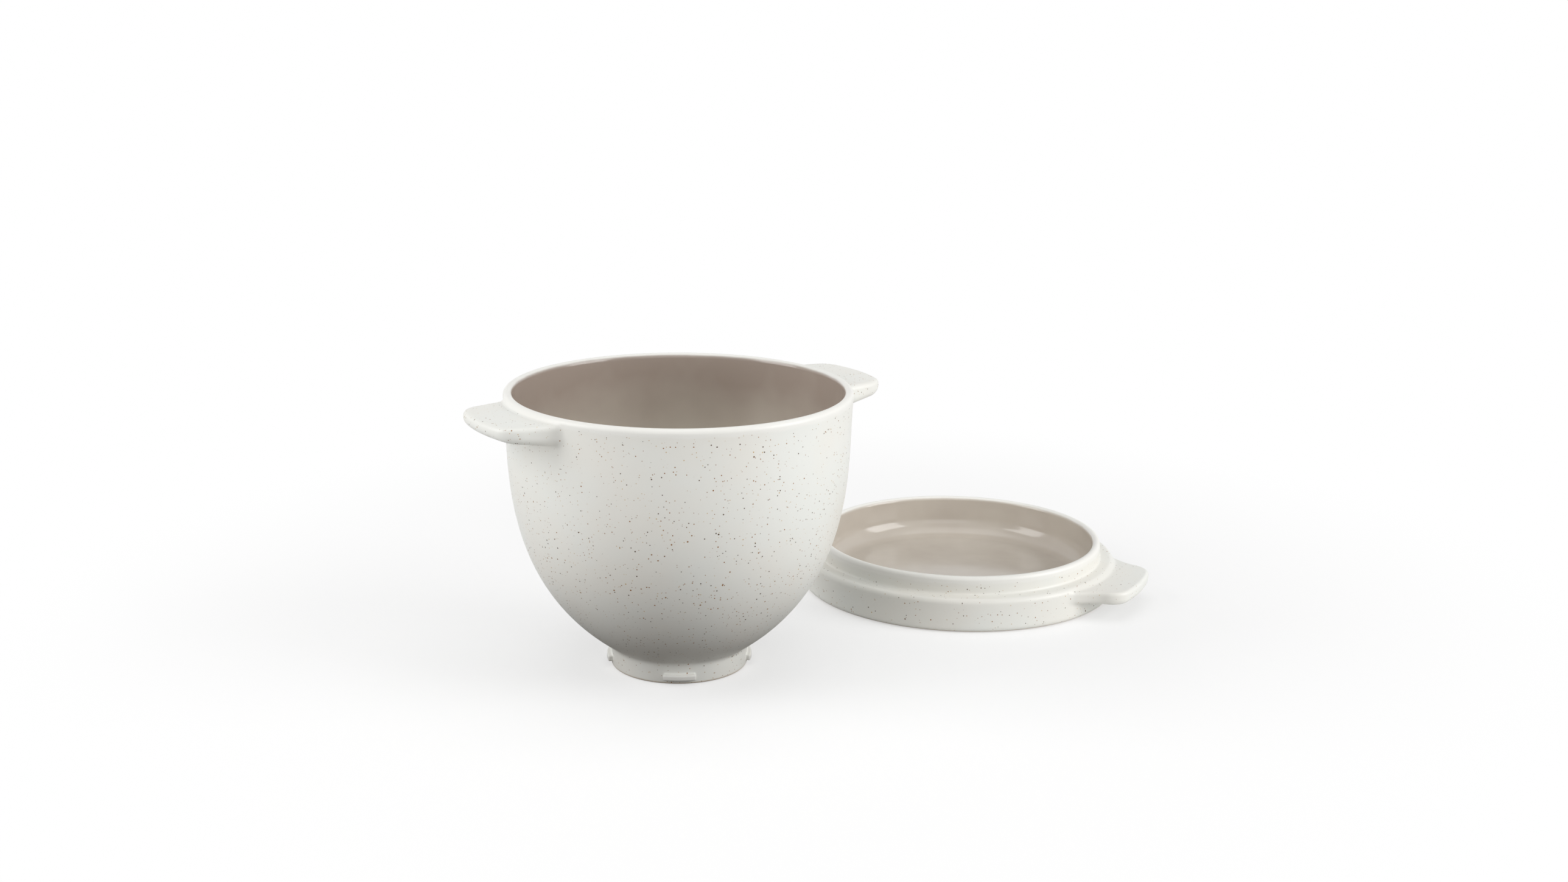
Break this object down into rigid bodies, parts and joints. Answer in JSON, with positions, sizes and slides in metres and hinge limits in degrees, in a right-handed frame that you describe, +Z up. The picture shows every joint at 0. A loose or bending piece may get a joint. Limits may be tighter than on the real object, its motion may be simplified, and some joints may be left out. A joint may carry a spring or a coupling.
{
  "type": "bread bowl with baking lid",
  "caption": "Round stoneware mixing bowl with slab handles and a twist-lock foot, and a shallow lid that turns over to serve as a baking tray.",
  "frame": {"origin": "middle of the set's footprint, on the table that the bowl's foot and the turned-over lid stand on", "axes": "+Z up along the bowl's axis; +X to the right and +Y away from the viewer as the set is seen from the front, with the lid to the right and behind"},
  "size_m": [0.4868, 0.399, 0.19],
  "materials": {
    "speckled_glaze_bowl": "satin speckled glaze outside, plain gloss glaze inside and over the rim, bare clay under the foot",
    "speckled_glaze_lid": "satin speckled glaze outside, plain gloss glaze in the tray, bare clay on the standing ring"
  },
  "bodies": {
    "bowl": {"bowl": "speckled_glaze_bowl"},
    "lid": {"baking_lid": "speckled_glaze_lid"}
  },
  "joints": [
    {"name": "lid_lift", "type": "slide", "parent": "bowl", "child": "lid", "axis": [0, 0, 1], "range_m": [0, 0.2]}
  ]
}
